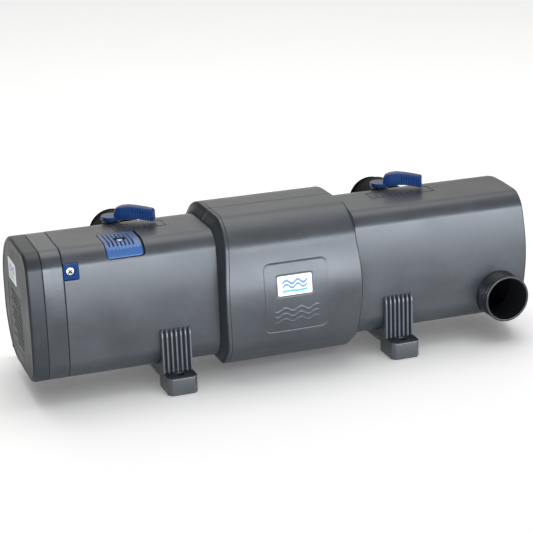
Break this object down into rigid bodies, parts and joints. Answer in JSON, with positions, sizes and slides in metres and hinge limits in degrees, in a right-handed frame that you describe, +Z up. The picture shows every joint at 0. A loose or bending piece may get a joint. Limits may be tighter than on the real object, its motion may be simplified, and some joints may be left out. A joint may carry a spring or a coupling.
{
  "type": "uv clarifier",
  "caption": "D-section pond UV clarifier with a pull-out lamp head, front inlet, rear outlets with lever valves and ribbed saddle feet.",
  "frame": {"origin": "on the floor, under the middle of the outer box", "axes": "+X along the chamber from the lamp head to the closed end, -Y the front with the inlet, +Z up"},
  "size_m": [0.6396, 0.212, 0.2053],
  "materials": {
    "housing_plastic": "satin moulded, dark graphite grey",
    "cover_plastic": "satin moulded, dark graphite grey",
    "foot_plastic": "satin moulded, dark graphite grey",
    "spigot_plastic": "satin moulded, near black grey",
    "blue_plastic": "semi-gloss moulded, medium blue",
    "valve_plastic": "moulded, black",
    "insert_plastic": "moulded, black",
    "seal_rubber": "soft matt black",
    "cable_rubber": "matt black sheath",
    "label_white": "printed film, white",
    "screw_steel": "plain bright",
    "quartz_glass": "clear polished",
    "lamp_glass": "clear polished",
    "lamp_base_white": "moulded, off-white",
    "ballast_potting": "potted, black",
    "switch_plastic": "moulded, dark red",
    "rotor_plastic": "moulded, light grey"
  },
  "bodies": {
    "housing": {"water_housing": "housing_plastic", "inlet_spigot": "spigot_plastic", "outlet_spigot_left": "spigot_plastic", "outlet_spigot_right": "spigot_plastic", "foot_left": "foot_plastic", "foot_right": "foot_plastic", "cover_front": "cover_plastic", "cover_back": "cover_plastic", "cover_label": "label_white", "spindle_seal_left": "seal_rubber", "spindle_seal_right": "seal_rubber", "latch_screw": "screw_steel", "lock_block": "blue_plastic", "lock_screw": "screw_steel"},
    "valve_left": {"bypass_lever_left": "blue_plastic", "valve_spindle_left": "valve_plastic", "bypass_flap_left": "valve_plastic"},
    "valve_right": {"bypass_lever_right": "blue_plastic", "valve_spindle_right": "valve_plastic", "bypass_flap_right": "valve_plastic"},
    "latch": {"release_latch": "blue_plastic"},
    "head": {"head_cap": "housing_plastic", "head_ring": "housing_plastic", "head_insert": "insert_plastic", "head_seal": "seal_rubber", "end_label": "label_white", "cable_gland": "insert_plastic", "power_cable": "cable_rubber", "quartz_sleeve": "quartz_glass", "sleeve_nut": "insert_plastic", "sleeve_seal": "seal_rubber", "uv_lamp": "lamp_glass", "lamp_base": "lamp_base_white", "lamp_holder": "lamp_base_white", "ballast": "ballast_potting", "lamp_lead_a": "cable_rubber", "lamp_lead_b": "cable_rubber", "safety_switch": "switch_plastic"},
    "rotor": {"cleaning_rotor": "rotor_plastic"}
  },
  "joints": [
    {"name": "lever_left_turn", "type": "hinge", "parent": "housing", "child": "valve_left", "pos_m": [-0.1927, 0.026, 0.184], "axis": [0, 0, 1], "range_deg": [-61, 29]},
    {"name": "lever_right_turn", "type": "hinge", "parent": "housing", "child": "valve_right", "pos_m": [0.1608, 0.026, 0.184], "axis": [0, 0, 1], "range_deg": [-61, 29]},
    {"name": "latch_slide", "type": "slide", "parent": "housing", "child": "latch", "axis": [1, 0, 0], "range_m": [0, 0.0025]},
    {"name": "head_pull", "type": "slide", "parent": "housing", "child": "head", "axis": [-1, 0, 0], "range_m": [0, 0.47]},
    {"name": "rotor_spin", "type": "hinge", "parent": "head", "child": "rotor", "pos_m": [-0.0167, 0.002, 0.082], "axis": [1, 0, 0], "continuous": true}
  ]
}
